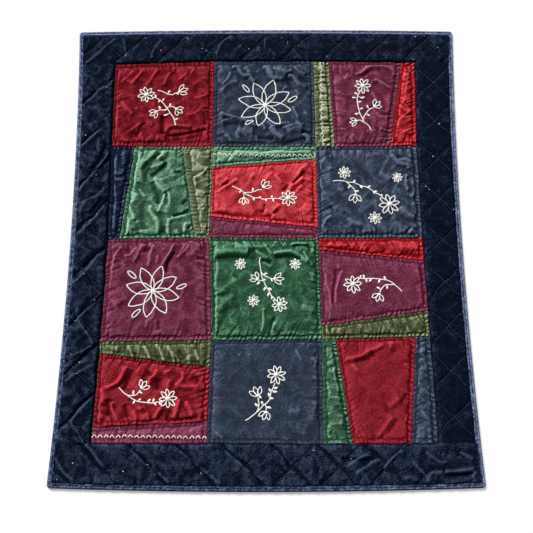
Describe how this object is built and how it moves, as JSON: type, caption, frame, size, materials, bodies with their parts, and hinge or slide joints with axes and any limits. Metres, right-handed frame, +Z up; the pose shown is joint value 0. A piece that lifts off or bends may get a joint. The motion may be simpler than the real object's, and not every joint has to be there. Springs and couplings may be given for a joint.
{
  "type": "patchwork throw",
  "caption": "Padded velvet throw pieced from square blocks, some whole and some in slanting strips, in a diamond-quilted border with a narrow binding, lying flat.",
  "frame": {"origin": "middle of the underside, which lies on the surface", "axes": "+X across the throw, +Y from its foot to its head, +Z up out of its face"},
  "size_m": [1.268, 1.5236, 0.0089],
  "materials": {
    "velvet_dark_red": "cotton velvet, dark red",
    "velvet_red": "cotton velvet, red",
    "velvet_slate": "cotton velvet, slate",
    "velvet_navy": "cotton velvet, navy",
    "velvet_plum": "cotton velvet, plum",
    "velvet_green": "cotton velvet, green",
    "velvet_pine": "cotton velvet, pine",
    "velvet_olive": "cotton velvet, olive",
    "velvet_sage": "cotton velvet, sage",
    "border": "midnight blue cotton velvet, quilted in diamonds",
    "binding": "blue velvet binding, worn pale along its fold",
    "thread": "cream embroidery cotton"
  },
  "bodies": {
    "root": {"binding_foot": "binding", "binding_head": "binding", "binding_left": "binding", "binding_right": "binding", "border_foot": "border", "border_head": "border", "border_left": "border", "border_right": "border", "patch_r1_c1_dark_red": "velvet_dark_red", "patch_r1_c2_slate": "velvet_slate", "patch_r1_c3_olive": "velvet_olive", "patch_r1_c3_plum": "velvet_plum", "patch_r1_c3_red": "velvet_red", "patch_r2_c1_green": "velvet_green", "patch_r2_c1_navy": "velvet_navy", "patch_r2_c1_sage": "velvet_sage", "patch_r2_c2_green": "velvet_green", "patch_r2_c2_plum": "velvet_plum", "patch_r2_c2_red": "velvet_red", "patch_r2_c3_slate": "velvet_slate", "patch_r3_c1_plum": "velvet_plum", "patch_r3_c2_pine": "velvet_pine", "patch_r3_c3_olive": "velvet_olive", "patch_r3_c3_plum": "velvet_plum", "patch_r3_c3_red": "velvet_red", "patch_r4_c1_dark_red": "velvet_dark_red", "patch_r4_c1_olive": "velvet_olive", "patch_r4_c1_plum": "velvet_plum", "patch_r4_c2_slate": "velvet_slate", "patch_r4_c3_dark_red": "velvet_dark_red", "patch_r4_c3_green": "velvet_green", "patch_r4_c3_slate": "velvet_slate"}
  },
  "joints": []
}
